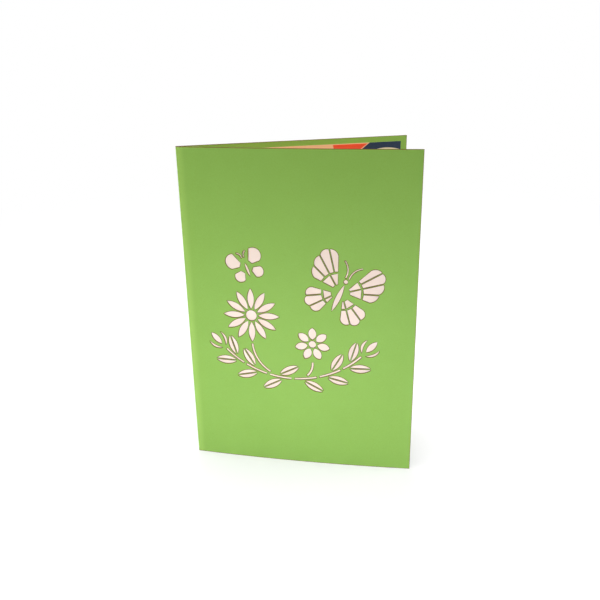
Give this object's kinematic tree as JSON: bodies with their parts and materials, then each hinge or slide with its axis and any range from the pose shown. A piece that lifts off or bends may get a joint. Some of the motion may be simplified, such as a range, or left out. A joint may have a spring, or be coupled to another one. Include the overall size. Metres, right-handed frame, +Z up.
{
  "type": "pop up card",
  "caption": "Folded greeting card standing partly open, its front cut through with flowers and butterflies, with creased paper strips that rise inside as it opens.",
  "frame": {"origin": "middle of the bounding box at the height of the edges that the card stands on", "axes": "+Z up along the fold, the front panel's face towards -Y, the fold at the -X side and the card opening towards +X and +Y"},
  "size_m": [0.125, 0.052, 0.18],
  "materials": {
    "green_card": "matt coloured card stock with laser-browned cut edges",
    "printed_paper": "matt paper, pale outside and printed in plain fields inside",
    "leaf_paper": "matt coloured paper",
    "meadow_paper": "matt coloured paper",
    "hedge_paper": "matt coloured paper",
    "coral_paper": "matt coloured paper",
    "peach_paper": "matt coloured paper",
    "navy_paper": "matt coloured paper"
  },
  "bodies": {
    "root": {"cover": "green_card", "inner_sheet": "printed_paper", "low_layer": "leaf_paper", "middle_layer": "meadow_paper", "tall_layer": "hedge_paper", "paper_flower_front_1": "coral_paper", "paper_flower_front_2": "peach_paper", "paper_flower_back_1": "coral_paper", "paper_flower_back_2": "peach_paper", "paper_butterfly": "navy_paper"}
  },
  "joints": []
}
